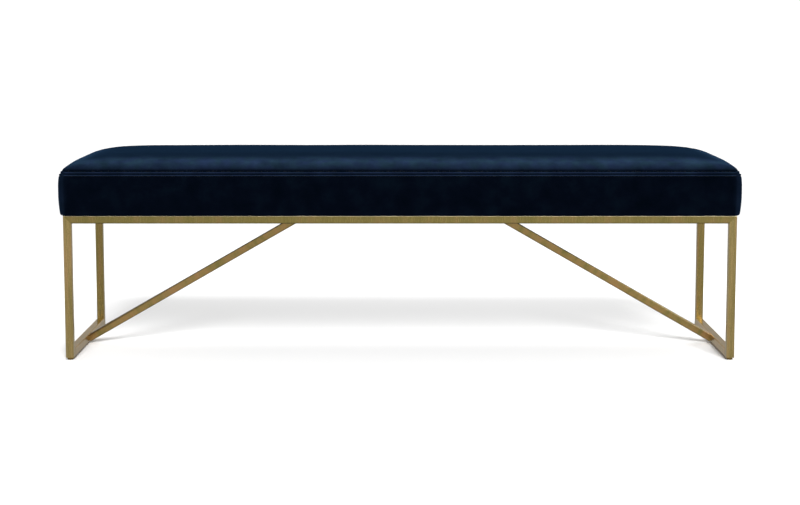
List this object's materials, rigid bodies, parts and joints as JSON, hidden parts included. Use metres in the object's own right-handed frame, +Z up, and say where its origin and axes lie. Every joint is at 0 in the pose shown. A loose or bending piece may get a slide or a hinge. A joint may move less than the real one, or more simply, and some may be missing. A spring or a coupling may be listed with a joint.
{
  "type": "upholstered bench",
  "caption": "Long bench: velvet box cushion with a crowned top and a stitched seam, on a brushed brass square-tube frame with sloping braces and levelling glides.",
  "frame": {"origin": "on the floor, under the middle of the bench", "axes": "+X along the bench's length, to the right seen from the front; the front faces -Y; +Z up"},
  "size_m": [1.52, 0.482, 0.459],
  "materials": {
    "brushed_brass": "satin",
    "glide_brass": "satin",
    "zinc_steel": "satin",
    "plywood": "matte",
    "foam": "matte",
    "batting": "matte",
    "velvet": "matte",
    "dust_cloth": "matte"
  },
  "bodies": {
    "frame": {"front_top_rail": "brushed_brass", "rear_top_rail": "brushed_brass", "front_left_leg": "brushed_brass", "front_right_leg": "brushed_brass", "rear_left_leg": "brushed_brass", "rear_right_leg": "brushed_brass", "left_end_rail": "brushed_brass", "right_end_rail": "brushed_brass", "left_floor_rail": "brushed_brass", "right_floor_rail": "brushed_brass", "left_cross_rail": "brushed_brass", "right_cross_rail": "brushed_brass", "left_brace": "brushed_brass", "right_brace": "brushed_brass", "leg_inserts": "zinc_steel", "seat_deck": "plywood", "tee_nuts": "zinc_steel", "seat_screws": "zinc_steel", "seat_washers": "zinc_steel", "foam_core": "foam", "batting_wrap": "batting", "cover_top_panel": "velvet", "cover_band": "velvet", "dust_cover": "dust_cloth"},
    "front_left_glide": {"front_left_glide_base": "glide_brass", "front_left_glide_stud": "zinc_steel"},
    "front_right_glide": {"front_right_glide_base": "glide_brass", "front_right_glide_stud": "zinc_steel"},
    "rear_left_glide": {"rear_left_glide_base": "glide_brass", "rear_left_glide_stud": "zinc_steel"},
    "rear_right_glide": {"rear_right_glide_base": "glide_brass", "rear_right_glide_stud": "zinc_steel"}
  },
  "joints": [
    {"name": "front_left_glide_screw", "type": "slide", "parent": "frame", "child": "front_left_glide", "axis": [0, 0, -1], "range_m": [0, 0.01]},
    {"name": "front_right_glide_screw", "type": "slide", "parent": "frame", "child": "front_right_glide", "axis": [0, 0, -1], "range_m": [0, 0.01]},
    {"name": "rear_left_glide_screw", "type": "slide", "parent": "frame", "child": "rear_left_glide", "axis": [0, 0, -1], "range_m": [0, 0.01]},
    {"name": "rear_right_glide_screw", "type": "slide", "parent": "frame", "child": "rear_right_glide", "axis": [0, 0, -1], "range_m": [0, 0.01]}
  ]
}
